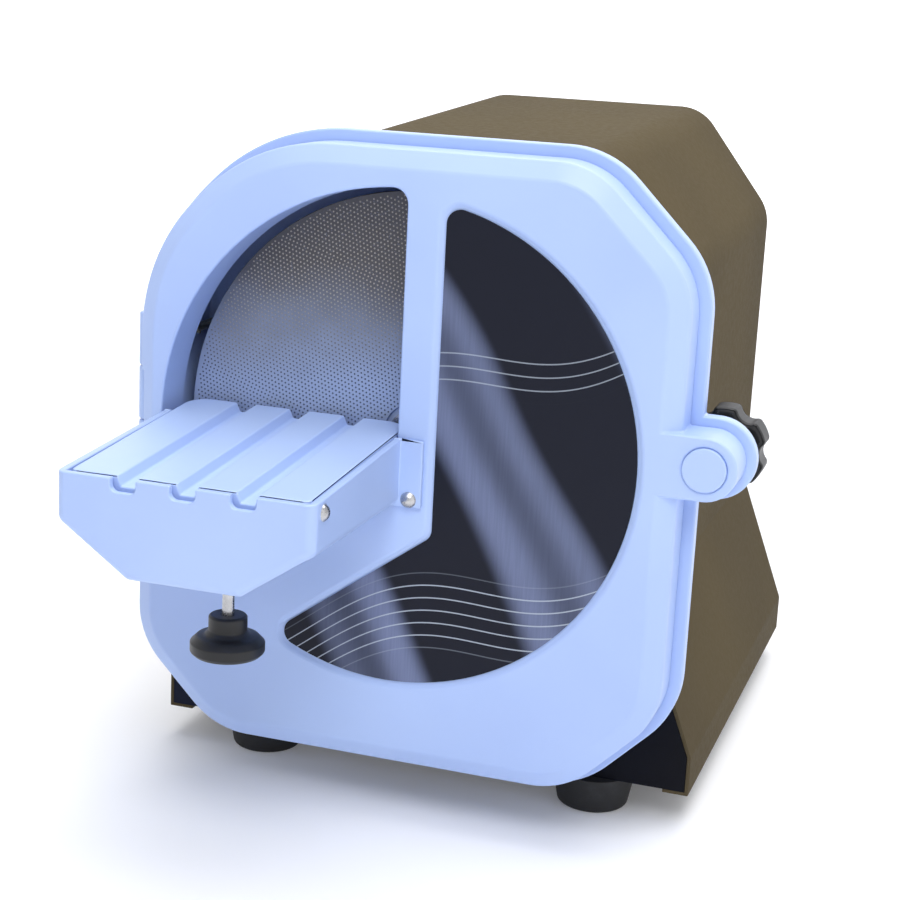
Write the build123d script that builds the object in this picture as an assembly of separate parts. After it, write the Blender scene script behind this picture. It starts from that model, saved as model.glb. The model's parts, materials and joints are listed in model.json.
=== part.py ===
from build123d import *
import os
from math import atan, cos, radians, sin, sqrt, tan

# Dental model trimmer. X to the right, Y from the front to the back, Z up, millimetres.
# It is drawn with x = 0 at the disc's axis, y = 0 at the cover's front face and z = 0 on the bench,
# and moved at the end so that its origin is the middle of its footprint, on the bench.

# Driving sizes of the disc, the chamber round it and the cover
disc_radius = 125.0
axis_height = 204.0
disc_side_room = 5.5
disc_top_room = 9.0
rim_bottom = 27.5
rim_bevel_right = 56.0
rim_bevel_left = 66.0
rim_bevel_bottom = 50.0
rim_round = 50.0
rim_round_left = 105.0
rim_thickness = 8.0
rim_step = 6.0
chamfer_width = 9.5
chamfer_depth = 6.0
cover_depth = 26.0
cover_wall = 5.0
seal_gap = 0.3
chamber_wall = 3.0
chamber_inset = 16.5

# Window and label field of the cover
window_margin = 4.0
window_right = 1.7
window_bottom = 188.0
window_round = 8.0
window_wall = 5.0
label_radius = 125.2
label_left = 21.0
label_knee_height = 159.7
label_slope = 36.4
label_round = 8.0
label_depth = 2.0
label_bevel = 2.4
label_margin = 0.8
label_thickness = 0.8
rib_thickness = 3.0
rib_height = 9.0

# Seal between rim and cover
gasket_outer = rim_step + 2.6
gasket_width = 2.2
gasket_groove = 2.5

# Ears and clamp at the right
ear_x = 157.0
ear_z = 211.5
front_ear_radius = 15.8
rear_ear_radius = 20.5
cap_radius = 10.8
cap_height = 1.6
cap_seat_depth = 3.0
insert_radius = 6.5
bolt_radius = 4.0
bolt_engagement = 12.0
collar_radius = 19.0
collar_thickness = 5.5
knob_radius = 22.0
knob_thickness = 17.0
knob_lobes = 6
knob_scallop_radius = 7.0
knob_neck_radius = 13.0
knob_neck_length = 5.0

# Hinge at the left
hinge_x = -147.6
hinge_y = 21.1
knuckle_radius = 4.8
hinge_pin_radius = 2.0
hinge_bottom = 168.0
hinge_top = 255.0
knuckle_gap = 0.4
pin_head_radius = 2.4
pin_head_height = 1.2
pin_head_gap = 0.1

# Work table
table_x = -61.0
table_width = 130.7
table_front = -113.4
table_wall = 3.8
table_front_height = 200.9
table_slope = 4.0
table_shoulder_drop = 23.9
table_bottom_drop = 48.9
table_foot_width = 58.0
table_corner_round = 5.0
wall_foot_front = 174.2
wall_foot_rear = 167.0
strap_width = 22.0
flange_width = 12.0
flange_thickness = 2.5
right_flange_bottom = 174.0
left_flange_width = 20.0
left_flange_inset = 13.0
left_flange_drop = 6.5
left_flange_bottom = 164.0
left_flange_top = 187.0
notch_width = 13.0
notch_depth = 6.5
plate_slope = 4.5
plate_front_height = 201.0
plate_rear = 23.6
plate_thickness = 10.0
plate_side_gap = 0.6
plate_front_gap = 1.6
plate_rear_round = 12.0
plate_front_round = 4.0
groove_pitch = 30.3
groove_width = 11.0
groove_floor_width = 7.0
groove_depth = 5.0
pivot_y = -101.7
pivot_z = 195.3
pivot_radius = 2.5
pivot_boss_radius = 5.0
pivot_boss_length = 12.0
dome_head_radius = 4.2
dome_head_height = 2.6
table_screw_radius = 2.0
table_screw_length = 12.0
screw_boss_radius = 6.0

# Jack screw below the table
jack_y = -60.0
jack_rod_radius = 3.0
jack_nut_radius = 5.5
jack_nut_flange_radius = 8.0
jack_nut_flange_height = 2.0
jack_knob_bottom = 104.0
jack_knob_rim_height = 9.5
jack_knob_rim_radius = 18.5
jack_knob_hub_radius = 9.6
jack_knob_height = 20.5
pad_radius = 6.0
pad_height = 7.0
pad_dome = 1.5
pad_socket_depth = 4.0

# Housing
housing_front = 62.0
housing_length = 304.5
sheet = 2.0
bend_radius = 5.0
shoulder_round = 28.0
base_half_width = 152.0
base_skirt_bottom = 18.0
base_skirt_top = 40.0
flare_top = 119.5
body_half_width = 121.3
body_bevel_bottom = 299.5
body_top = 362.2
body_top_half_width = 72.6
body_front_drop = 16.0
sheet_fit = 0.2
base_lip = 14.0
base_screw_radius = 1.8
base_screw_margin = 20.0
vent_rows = 7
vent_pitch = 14.0
vent_length = 90.0
vent_height = 5.0
vent_bottom = 210.0

# Feet
foot_x = 97.0
foot_front_y = 77.0
foot_rear_y = 340.0
foot_top_radius = 23.0
foot_bottom_radius = 19.0
foot_round = 3.0
foot_bore_radius = 7.0
foot_bore_height = 5.0
foot_screw_radius = 2.5

# Disc and drive
disc_thickness = 5.0
disc_gap = 3.3
disc_recess_radius = 16.0
disc_recess_depth = 1.5
hub_radius = 34.0
hub_flange = 5.0
hub_boss_radius = 16.0
hub_length = 16.0
disc_screw_radius = 4.0
disc_screw_length = 22.0
disc_screw_head = 13.0
shaft_radius = 9.5
running_gap = 0.05
seal_radius = 18.0
seal_lip = 3.0
slinger_radius = 24.0
slinger_thickness = 2.0
motor_radius = 66.0
bell_length = 22.0
motor_length = 130.0
stator_radius = 42.0
rotor_air_gap = 0.6
bearing_radius = 20.0
bearing_width = 12.0
fan_radius = 55.0
fan_thickness = 14.0
fan_blades = 9
cowl_length = 30.0
cowl_wall = 1.5
motor_bolt_circle = 52.0
motor_bolt_radius = 3.0
motor_bolt_grip = 10.0
motor_bolt_head_radius = 5.4
motor_bolt_head_height = 3.0
motor_fins = 24
motor_fin_height = 2.0
motor_fin_width = 2.4
bell_chamfer = 5.0

# Switch on the left side of the housing
switch_y = 150.0
switch_z = 175.0
switch_width = 26.0
switch_height = 34.0
switch_bezel_height = 2.5
switch_body_depth = 18.0
rocker_width = 15.0
rocker_height = 24.0
rocker_gap = 0.4
rocker_end_gap = 2.4
rocker_throw = 16.0
rocker_axis_depth = 5.0

# Capacitor and terminals on the base plate
capacitor_x = 60.0
capacitor_y = 240.0
capacitor_radius = 18.0
capacitor_length = 80.0
strap_clip_width = 16.0
strap_clip_thickness = 1.5
strap_clip_foot = 10.0
strap_clip_gap = 9.0
terminal_x = -110.0
terminal_y = 290.0
terminal_width = 16.0
terminal_height = 16.0
terminal_pitch = 12.0
terminal_count = 5
terminal_bore = 2.5

# Water, drain and mains fittings
barb_rise = 42.0
barb_radius = 4.0
barb_bore = 1.5
barb_flange = 1.4
barb_length = 20.0
spray_radius = 2.5
spray_front = 26.7
spray_wall_gap = 0.8
jet_radius = 1.2
jet_bore = 0.7
jet_length = 6.0
drain_radius = 9.0
drain_bore = 6.5
drain_y = 47.0
drain_length = 20.0
gland_x = -70.0
gland_z = 52.0
gland_radius = 9.0
gland_length = 16.0
gland_bore = 3.6

# Values worked out from the sizes above
disc_front = cover_depth + disc_gap
rim_front = cover_depth + seal_gap
rim_back = rim_front + rim_thickness
chamber_inner = chamber_inset + chamber_wall
rim_width = 2 * (disc_radius + disc_side_room + chamber_inner)
rim_top = axis_height + disc_radius + disc_top_room + chamber_inner
rim_height = rim_top - rim_bottom
window_radius = disc_radius + window_margin
housing_back = housing_front + housing_length
table_left = table_x - table_width / 2
table_right = table_x + table_width / 2
table_rear = -flange_thickness
table_shoulder = table_front_height - table_shoulder_drop
table_bottom = table_front_height - table_bottom_drop
skirt_inner = table_front + table_wall
plate_front = skirt_inner + plate_front_gap
plate_half_width = table_width / 2 - table_wall - plate_side_gap
collar_front = rim_back + seal_gap
knob_front = collar_front + collar_thickness + seal_gap
panel_back = housing_front + sheet
rocker_axis_x = -body_half_width + rocker_axis_depth
floor_z = base_skirt_bottom + 2 * sheet
base_screw_x = base_half_width - base_lip / 2
barb_x = chamber_inner + spray_radius + spray_wall_gap - rim_width / 2
barb_z = axis_height + barb_rise


def front_slab(outline, y_front, y_back):
    """A plate whose outline is drawn as seen from the front."""
    return Pos(0, y_back, 0) * extrude(Plane.XZ * outline, amount=y_back - y_front, dir=(0, -1, 0))


def between(front_outline, y_front, back_outline, y_back):
    """A solid that runs straight from one outline to another like it, further back."""
    front = Pos(0, y_front, 0) * (Plane.XZ * front_outline)
    back = Pos(0, y_back, 0) * (Plane.XZ * back_outline)
    return loft([front.face(), back.face()], ruled=True)


def side_slab(outline, x_left, x_right):
    """A plate whose outline is drawn in (y, z) as seen from the right."""
    return Pos(x_left, 0, 0) * extrude(Plane.YZ * outline, amount=x_right - x_left, dir=(1, 0, 0))


def rod_y(radius, y_front, y_back, x=0.0, z=0.0):
    """A round bar that runs from the front to the back."""
    return front_slab(Pos(x, z) * Circle(radius), y_front, y_back)


def rod_z(radius, z_low, z_high, x=0.0, y=0.0):
    """A round upright bar."""
    return Pos(x, y, z_low) * extrude(Circle(radius), amount=z_high - z_low)


def rod_x(radius, x_left, x_right, y=0.0, z=0.0):
    """A round bar that runs from the left to the right."""
    return side_slab(Pos(y, z) * Circle(radius), x_left, x_right)


def block(x_low, x_high, y_low, y_high, z_low, z_high):
    """A box between two corners."""
    middle = Pos((x_low + x_high) / 2, (y_low + y_high) / 2, (z_low + z_high) / 2)
    return middle * Box(x_high - x_low, y_high - y_low, z_high - z_low)


def turned(points, axis=Axis.Z):
    """A solid of revolution from (radius, height) points."""
    return revolve(Plane.XZ * make_face(Polyline(*points, close=True)), axis=axis)


def dome_screw(shank_radius, shank_length):
    """A dome-head screw at the origin, its head up and its seat at z = 0."""
    ball = (dome_head_radius**2 + dome_head_height**2) / (2 * dome_head_height)
    head = Pos(0, 0, dome_head_height - ball) * Sphere(ball)
    head &= block(-ball, ball, -ball, ball, 0, dome_head_height)
    return head + rod_z(shank_radius, -shank_length, 0)


def octagon(inset=0.0):
    """The rim's rounded octagon, rounder at its upper left, moved inwards all round."""
    half = rim_width / 2 - inset
    low = rim_bottom + inset
    high = rim_top - inset
    shift = inset * (2 - sqrt(2))
    right_leg = rim_bevel_right - shift
    left_leg = rim_bevel_left - shift
    low_leg = rim_bevel_bottom - shift
    corners = [
        (half - low_leg, low),
        (half, low + low_leg),
        (half, high - right_leg),
        (half - right_leg, high),
        (left_leg - half, high),
        (-half, high - left_leg),
        (-half, low + low_leg),
        (low_leg - half, low),
    ]
    shape = Polygon(*corners, align=None)
    upper_left = [corner for corner in shape.vertices() if corner.X < 0 and corner.Y > axis_height]
    shape = fillet(upper_left, rim_round_left - inset)
    others = [corner for corner in shape.vertices() if corner.X > 0 or corner.Y < axis_height]
    return fillet(others, rim_round - inset)


def ear(radius, inner_x):
    """An ear that runs out of the side and ends in a half round."""
    arm = Pos((inner_x + ear_x) / 2, ear_z) * Rectangle(ear_x - inner_x, 2 * radius)
    return arm + Pos(ear_x, ear_z) * Circle(radius)


def window(growth=0.0):
    """The window in front of the disc, made larger or smaller all round."""
    radius = window_radius + growth
    right = window_right + growth
    bottom = window_bottom - growth
    disc = Pos(0, axis_height) * Circle(radius)
    keep = Pos(right - radius, bottom + radius) * Rectangle(2 * radius, 2 * radius)
    shape = disc & keep
    return fillet(shape.vertices(), window_round)


def label_field(inset=0.0):
    """The recess right of the window, which runs on below the table to the left."""
    radius = label_radius - inset
    left = label_left + inset
    slope = radians(label_slope)
    knee = label_knee_height - inset * (1 - sin(slope)) / cos(slope)
    far = 2 * label_radius
    shoulder = [
        (left, knee),
        (left, knee + far),
        (left - far, knee + far),
        (left - far, knee - far * tan(slope)),
    ]
    shape = Pos(0, axis_height) * Circle(radius) - Polygon(*shoulder, align=None)
    return fillet(shape.vertices(), label_round - inset)


def make_front_cover():
    """The thick moulded cover, hollow behind its face, with its window, label field and ear."""
    body = between(octagon(rim_step + chamfer_width), 0, octagon(rim_step), chamfer_depth)
    body += front_slab(octagon(rim_step), chamfer_depth, cover_depth)
    hollow = octagon(rim_step + cover_wall + chamfer_depth) - window(window_wall)
    body -= front_slab(hollow, cover_wall, cover_depth)
    body += front_slab(ear(front_ear_radius, rim_width / 2 - 2 * chamfer_width), 0, cover_depth)
    rib_back = cover_wall + rib_height
    inside = octagon(rim_step + cover_wall)
    upright = Pos(label_left + label_radius / 2, rim_bottom + rim_height / 2) * Rectangle(rib_thickness, rim_height)
    level = Pos(rim_width / 2, axis_height) * Rectangle(rim_width - 2 * window_wall, rib_thickness)
    foot = Pos(0, rim_bottom + rim_height / 4) * Rectangle(rim_width, rib_thickness)
    for rib in (upright, level, foot):
        body += front_slab((rib & inside) - window(window_wall), cover_wall, rib_back)
    for x, z in table_screw_places():
        body += rod_y(screw_boss_radius, cover_wall, table_screw_length + cover_wall, x, z)
        body -= rod_y(table_screw_radius, 0, table_screw_length, x, z)
    body -= front_slab(window(), 0, cover_depth)
    body -= between(label_field(-label_bevel), 0, label_field(), label_depth)
    body -= rod_y(cap_radius, 0, cap_seat_depth, ear_x, ear_z)
    body -= rod_y(insert_radius, cap_seat_depth, cover_depth, ear_x, ear_z)
    return add_cover_knuckles(body)


def knuckle_joints():
    """Heights at which the hinge changes from the cover's knuckles to the chamber's and back."""
    third = (hinge_top - hinge_bottom) / 3
    return hinge_bottom + third, hinge_top - third


def add_cover_knuckles(body):
    """The upper and lower knuckle stand on the cover, which is cut away round the middle one."""
    lower, upper = knuckle_joints()
    inner_x = -rim_width / 2 + rim_step + 1
    room = knuckle_radius + 2 * knuckle_gap
    body -= block(hinge_x - room, hinge_x + room, 0, cover_depth, lower - knuckle_gap, upper + knuckle_gap)
    for low, high in ((hinge_bottom, lower - knuckle_gap), (upper + knuckle_gap, hinge_top)):
        web = block(hinge_x, inner_x, hinge_y - knuckle_radius, hinge_y + knuckle_radius, low, high)
        body += web + rod_z(knuckle_radius, low, high, hinge_x, hinge_y)
    return body - rod_z(hinge_pin_radius + running_gap, hinge_bottom, hinge_top, hinge_x, hinge_y)


def make_wet_chamber():
    """The moulded tub behind the cover: a wide rim, a deep wall and a back with the shaft's hole."""
    body = front_slab(octagon() - octagon(chamber_inner), rim_front, rim_back)
    body += front_slab(octagon(chamber_inset) - octagon(chamber_inner), rim_back, housing_front)
    body += front_slab(octagon(chamber_inset), housing_front - chamber_wall, housing_front)
    body += front_slab(ear(rear_ear_radius, rim_width / 2 - chamber_inner), rim_front, rim_back)
    body -= front_slab(octagon(chamber_inner), rim_front, housing_front - chamber_wall)
    body -= gasket_ring()
    lower, upper = knuckle_joints()
    lug = block(hinge_x - knuckle_radius, hinge_x + knuckle_radius, hinge_y, rim_back, lower, upper)
    body += lug + rod_z(knuckle_radius, lower, upper, hinge_x, hinge_y)
    body -= rod_z(hinge_pin_radius, lower, upper, hinge_x, hinge_y)
    body -= rod_y(bolt_radius + running_gap, rim_front, rim_back, ear_x, ear_z)
    body -= rod_y(seal_radius, housing_front - chamber_wall, housing_front, 0, axis_height)
    body -= rod_z(drain_bore, rim_bottom, rim_bottom + 2 * chamber_inner, 0, drain_y)
    body -= rod_y(barb_bore, housing_front - chamber_wall, housing_front, barb_x, barb_z)
    for x, z in motor_bolt_places():
        body -= rod_y(motor_bolt_radius, housing_front - chamber_wall, housing_front, x, z)
    return body


def gasket_ring(proud=0.0):
    """The seal between the rim and the cover, or, with nothing proud, the groove that it lies in."""
    ring = octagon(gasket_outer) - octagon(gasket_outer + gasket_width)
    return front_slab(ring, rim_front - proud, rim_front + gasket_groove)


def hinge_pin():
    """The hinge's pin with a flat head at its top."""
    head_top = hinge_top + pin_head_gap + pin_head_height
    shank = rod_z(hinge_pin_radius, hinge_bottom - pin_head_height, head_top, hinge_x, hinge_y)
    return shank + rod_z(pin_head_radius, hinge_top + pin_head_gap, head_top, hinge_x, hinge_y)


def clamp_cap():
    """The round white cap that closes the front ear."""
    cap = rod_y(cap_radius, -cap_height, cap_seat_depth, ear_x, ear_z)
    return fillet(cap.edges().group_by(Axis.Y)[0], cap_height / 2)


def clamp_insert():
    """The threaded bush in the front ear."""
    bush = rod_y(insert_radius, cap_seat_depth, cover_depth, ear_x, ear_z)
    return bush - rod_y(bolt_radius + running_gap, cap_seat_depth + 2, cover_depth, ear_x, ear_z)


def clamp_bolt():
    """The bolt from the front ear's bush to the star knob."""
    return rod_y(bolt_radius, cover_depth - bolt_engagement, knob_front + knob_thickness, ear_x, ear_z)


def clamp_collar():
    """The ring between the rear ear and the star knob."""
    ring = rod_y(collar_radius, collar_front, collar_front + collar_thickness, ear_x, ear_z)
    ring = chamfer(ring.edges(), 0.8)
    return ring - rod_y(bolt_radius + running_gap, collar_front, knob_front, ear_x, ear_z)


def clamp_knob():
    """The black star knob: a scalloped disc on a short neck."""
    scallops = Sketch() + [
        place * Circle(knob_scallop_radius)
        for place in PolarLocations(knob_radius + knob_scallop_radius / 2, knob_lobes)
    ]
    star = Circle(knob_radius) - scallops
    star = fillet(star.vertices(), 2.5)
    grip_front = knob_front + knob_neck_length
    grip_back = knob_front + knob_neck_length + knob_thickness
    grip = front_slab(Pos(ear_x, ear_z) * star, grip_front, grip_back)
    grip = chamfer(grip.edges().group_by(Axis.Y)[0] + grip.edges().group_by(Axis.Y)[-1], 1.2)
    neck = rod_y(knob_neck_radius, knob_front, grip_front, ear_x, ear_z)
    return grip + neck - rod_y(bolt_radius, knob_front, knob_front + knob_thickness, ear_x, ear_z)


def table_outline(inset=0.0):
    """The table seen from the front: upright sides, then a slope down to a narrower foot."""
    half = table_width / 2 - inset
    foot = table_foot_width / 2 - inset / 2
    slope_drop = inset / 2
    corners = [
        (table_x - half, table_front_height + table_width),
        (table_x + half, table_front_height + table_width),
        (table_x + half, table_shoulder + slope_drop),
        (table_x + foot, table_bottom + inset),
        (table_x - foot, table_bottom + inset),
        (table_x - half, table_shoulder + slope_drop),
    ]
    shape = Polygon(*corners, align=None)
    low = shape.vertices().group_by(Axis.Y)
    return fillet(low[0] + low[1], table_corner_round)


def above_line(y_a, z_a, y_b, z_b, x_left, x_right):
    """Everything over a sloped line, from y_a to y_b."""
    tall = table_width * 2
    return side_slab(Polygon((y_a, z_a), (y_b, z_b), (y_b, tall * 2), (y_a, tall * 2), align=None), x_left, x_right)


def below_line(y_a, z_a, y_b, z_b, x_left, x_right):
    """Everything under a sloped line, from y_a to y_b."""
    return side_slab(Polygon((y_a, z_a), (y_a, 0), (y_b, 0), (y_b, z_b), align=None), x_left, x_right)


def wall_top(y):
    """Height of the side walls' sloped upper edge."""
    return table_front_height + (y - table_front) * tan(radians(table_slope))


def wall_foot(y):
    """Height of the side walls' sloped lower edge."""
    share = (y - table_front) / (table_rear - table_front)
    return wall_foot_front + share * (wall_foot_rear - wall_foot_front)


def groove_centres():
    """The plate's grooves, side to side."""
    return [table_x + step * groove_pitch for step in (-1, 0, 1)]


def table_screw_places():
    """(x, z) of the dome screws that hold the table on the cover."""
    right = (table_right + flange_width * 0.45, right_flange_bottom + 4)
    left = (table_left + left_flange_inset, left_flange_top - left_flange_drop)
    return [left, right]


def make_table_frame():
    """The table's white frame: skirt, side walls with sloped feet, jack strap and rear flanges."""
    wide_left = table_left - 1
    wide_right = table_right + 1
    body = front_slab(table_outline(), table_front, table_rear)
    upright = body.edges().filter_by(Axis.Z).group_by(Axis.Y)[0]
    body = fillet(upright, table_corner_round)
    body -= front_slab(table_outline(table_wall), skirt_inner, table_rear + 1)
    body -= above_line(table_front - 1, wall_top(table_front - 1), 1, wall_top(1), wide_left, wide_right)
    strap_front = jack_y - strap_width / 2
    strap_back = jack_y + strap_width / 2
    for y_a, y_b in ((skirt_inner, strap_front), (strap_back, 1)):
        body -= below_line(y_a, wall_foot(y_a), y_b, wall_foot(y_b), wide_left, wide_right)
    for x in groove_centres():
        notch = Pos(x, table_front_height) * Rectangle(notch_width, 2 * notch_depth)
        notch = fillet(notch.vertices().group_by(Axis.Y)[0], notch_depth / 2)
        body -= front_slab(notch, table_front, skirt_inner)
    right_flange = block(
        table_right - table_wall, table_right + flange_width, table_rear, 0, right_flange_bottom, wall_top(0)
    )
    left_flange = block(
        table_left, table_left + left_flange_width, table_rear, 0, left_flange_bottom, left_flange_top
    )
    left_heel = block(table_left, table_left + table_wall, table_rear, 0, left_flange_bottom, wall_top(0))
    body += right_flange + left_flange + left_heel
    body -= rod_z(jack_nut_radius, table_bottom - 1, table_bottom + table_wall + 1, table_x, jack_y)
    for x, z in table_screw_places():
        body -= rod_y(table_screw_radius, table_rear, 0, x, z)
    return body - rod_x(pivot_radius, wide_left, wide_right, pivot_y, pivot_z)


def make_tilt_plate():
    """The grooved plate on which the model lies, with bosses for its two pivot screws."""
    length = (plate_rear - plate_front) / cos(radians(plate_slope))
    outline = Pos(0, length / 2) * Rectangle(2 * plate_half_width, length)
    ends = outline.vertices().group_by(Axis.Y)
    outline = fillet(ends[-1], plate_rear_round)
    outline = fillet(outline.vertices().group_by(Axis.Y)[0], plate_front_round)
    slab = Pos(0, 0, -plate_thickness) * extrude(outline, amount=plate_thickness, dir=(0, 0, 1))
    groove = Polygon(
        (-groove_width / 2, 0),
        (groove_width / 2, 0),
        (groove_floor_width / 2, -groove_depth),
        (-groove_floor_width / 2, -groove_depth),
        align=None,
    )
    slab = chamfer(slab.edges().group_by(Axis.Z)[-1], 0.8)
    for x in groove_centres():
        slab -= Pos(x - table_x, length + 1, 0) * extrude(Plane.XZ * groove, amount=length + 2, dir=(0, -1, 0))
    placed = Pos(table_x, plate_front, plate_front_height) * Rot(plate_slope, 0, 0) * slab
    for side in (-1, 1):
        x_outer = table_x + side * plate_half_width
        x_inner = x_outer - side * pivot_boss_length
        low_x, high_x = min(x_outer, x_inner), max(x_outer, x_inner)
        boss = rod_x(pivot_boss_radius, low_x, high_x, pivot_y, pivot_z)
        placed += boss & below_line(
            pivot_y - pivot_boss_radius,
            plate_underside(pivot_y - pivot_boss_radius) + 1,
            pivot_y + pivot_boss_radius,
            plate_underside(pivot_y + pivot_boss_radius) + 1,
            low_x,
            high_x,
        )
        placed -= rod_x(pivot_radius + running_gap, low_x, high_x, pivot_y, pivot_z)
    return placed


def plate_underside(y):
    """Height of the plate's lower face."""
    slope = radians(plate_slope)
    return plate_front_height + (y - plate_front) * tan(slope) - plate_thickness / cos(slope)


def pivot_screws():
    """The two dome screws in the side walls."""
    reach = table_wall + plate_side_gap + pivot_boss_length - 1
    right = Pos(table_right, pivot_y, pivot_z) * Rot(0, 90, 0) * dome_screw(pivot_radius, reach)
    left = Pos(table_left, pivot_y, pivot_z) * Rot(0, -90, 0) * dome_screw(pivot_radius, reach)
    return Part() + [left, right]


def table_screws():
    """The dome screws through the rear flanges."""
    screw = Rot(90, 0, 0) * dome_screw(table_screw_radius, table_screw_length)
    return Part() + [Pos(x, table_rear, z) * screw for x, z in table_screw_places()]


pad_top = plate_underside(jack_y) - seal_gap
pad_bottom = pad_top - pad_height


def thrust_pad():
    """The domed cap at the jack rod's tip, which carries the plate."""
    ball = (pad_radius**2 + pad_dome**2) / (2 * pad_dome)
    dome = Pos(table_x, jack_y, pad_top - ball) * Sphere(ball)
    cap = dome & rod_z(pad_radius, pad_bottom, pad_top, table_x, jack_y)
    return cap - rod_z(jack_rod_radius + running_gap, pad_bottom, pad_bottom + pad_socket_depth, table_x, jack_y)


def jack_nut():
    """The threaded bush in the frame's strap."""
    low = table_bottom - jack_nut_flange_height
    bush = rod_z(jack_nut_radius, low, table_bottom + table_wall + 3, table_x, jack_y)
    bush += rod_z(jack_nut_flange_radius, low, table_bottom, table_x, jack_y)
    return bush - rod_z(jack_rod_radius + running_gap, low, table_bottom + table_wall + 3, table_x, jack_y)


def jack_rod():
    """The threaded rod between the knob and the thrust pad."""
    low = jack_knob_bottom + jack_knob_rim_height / 2
    return rod_z(jack_rod_radius, low, pad_bottom + pad_socket_depth, table_x, jack_y)


def jack_knob():
    """The round black knob with its hub."""
    rim = jack_knob_rim_radius
    hub = jack_knob_hub_radius
    low = jack_knob_rim_height
    profile = [
        (0, 0),
        (rim - 2, 0),
        (rim, 2),
        (rim, low - 3),
        (rim - 3, low),
        (hub + 2, low + 1),
        (hub, low + 3),
        (hub, jack_knob_height - 1),
        (hub - 1, jack_knob_height),
        (0, jack_knob_height),
    ]
    solid = Pos(table_x, jack_y, jack_knob_bottom) * turned(profile)
    socket_low = jack_knob_bottom + low / 2
    return solid - rod_z(jack_rod_radius, socket_low, jack_knob_bottom + jack_knob_height, table_x, jack_y)


def housing_outline(y, inset=0.0):
    """The housing cut across at y: base skirt, flare, upright sides, bevels and top, lower at the front."""
    drop = body_front_drop * (housing_back - y) / housing_length
    flare = atan((base_half_width - body_half_width) / (flare_top - base_skirt_top))
    bevel = atan((body_half_width - body_top_half_width) / (body_top - body_bevel_bottom))
    low = base_skirt_bottom
    skirt_shift = inset * tan(flare / 2)
    bevel_shift = inset * tan(bevel / 2)
    top_shift = inset * tan(radians(45) - bevel / 2)
    right = [
        (base_half_width - inset, low),
        (base_half_width - inset, base_skirt_top - skirt_shift),
        (body_half_width - inset, flare_top - skirt_shift),
        (body_half_width - inset, body_bevel_bottom - bevel_shift - drop),
        (body_top_half_width - top_shift, body_top - inset - drop),
    ]
    left = [(-x, z) for x, z in reversed(right)]
    shape = Polygon(*right, *left, align=None)
    shape = fillet(shape.vertices().sort_by(Axis.Y)[-4:], shoulder_round - inset)
    return fillet(shape.vertices().sort_by(Axis.Y)[2:6], bend_radius - inset)


def make_housing_shell():
    """The folded sheet-steel housing, open at the front, the back and below, with turned-in lips."""
    outer, inner = (
        between(housing_outline(housing_front, inset), housing_front, housing_outline(housing_back, inset), housing_back)
        for inset in (0.0, sheet)
    )
    shell = outer - inner
    lip_inner = base_half_width - base_lip
    for side in (-1, 1):
        lip_low, lip_high = sorted((side * lip_inner, side * (base_half_width - sheet)))
        shell += block(lip_low, lip_high, housing_front, housing_back, base_skirt_bottom, base_skirt_bottom + sheet)
    side_x = -body_half_width
    hole_y = switch_width / 2 - 2
    hole_z = switch_height / 2 - 2
    shell -= block(
        side_x - 1, side_x + sheet + 1, switch_y - hole_y, switch_y + hole_y, switch_z - hole_z, switch_z + hole_z
    )
    for y in base_screw_rows():
        for x in (-base_screw_x, base_screw_x):
            shell -= rod_z(base_screw_radius, base_skirt_bottom, base_skirt_bottom + sheet, x, y)
    return shell


def base_screw_rows():
    """The base plate's screws along the housing."""
    first = housing_front + base_screw_margin
    last = housing_back - base_screw_margin
    return [first, first + housing_length / 3, last]


def panel_outline(y):
    """An end panel that fits inside the housing at y and stands on the base plate."""
    below = Pos(0, floor_z - rim_height / 2) * Rectangle(2 * rim_width, rim_height)
    return housing_outline(y, sheet + sheet_fit) - below


def make_front_panel():
    """The dark panel behind the chamber, which carries chamber and motor."""
    panel = front_slab(panel_outline(housing_front), housing_front, panel_back)
    panel -= rod_y(seal_radius, housing_front, panel_back, 0, axis_height)
    for x, z in motor_bolt_places():
        panel -= rod_y(motor_bolt_radius, housing_front, panel_back, x, z)
    return panel


def make_rear_panel():
    """The rear panel with its vent slots and the mains gland's hole."""
    panel = front_slab(panel_outline(housing_back - sheet), housing_back - sheet, housing_back)
    slot = SlotOverall(vent_length, vent_height)
    for row in range(vent_rows):
        height = vent_bottom + row * vent_pitch
        panel -= front_slab(Pos(0, height) * slot, housing_back - sheet, housing_back)
    return panel - rod_y(gland_radius - 2, housing_back - sheet, housing_back, gland_x, gland_z)


def make_base_plate():
    """The housing's floor, on the turned-in lips, with the holes of feet and screws."""
    half = base_half_width - sheet - sheet_fit
    low = base_skirt_bottom + sheet
    plate = block(-half, half, housing_front, housing_back, low, low + sheet)
    for y in base_screw_rows():
        for x in (-base_screw_x, base_screw_x):
            plate -= rod_z(base_screw_radius, low, low + sheet, x, y)
    for x, y in foot_places():
        plate -= rod_z(foot_screw_radius, low, low + sheet, x, y)
    return plate


def base_screws():
    """The screws through the lips into the base plate, heads below."""
    head = base_screw_radius * 2
    screws = Part()
    for y in base_screw_rows():
        for x in (-base_screw_x, base_screw_x):
            screws += rod_z(head, base_skirt_bottom - head / 2, base_skirt_bottom, x, y) + rod_z(
                base_screw_radius, base_skirt_bottom, base_skirt_bottom + 3 * sheet, x, y
            )
    return screws


def foot_places():
    """(x, y) of the four feet."""
    return [(x, y) for x in (-foot_x, foot_x) for y in (foot_front_y, foot_rear_y)]


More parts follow.
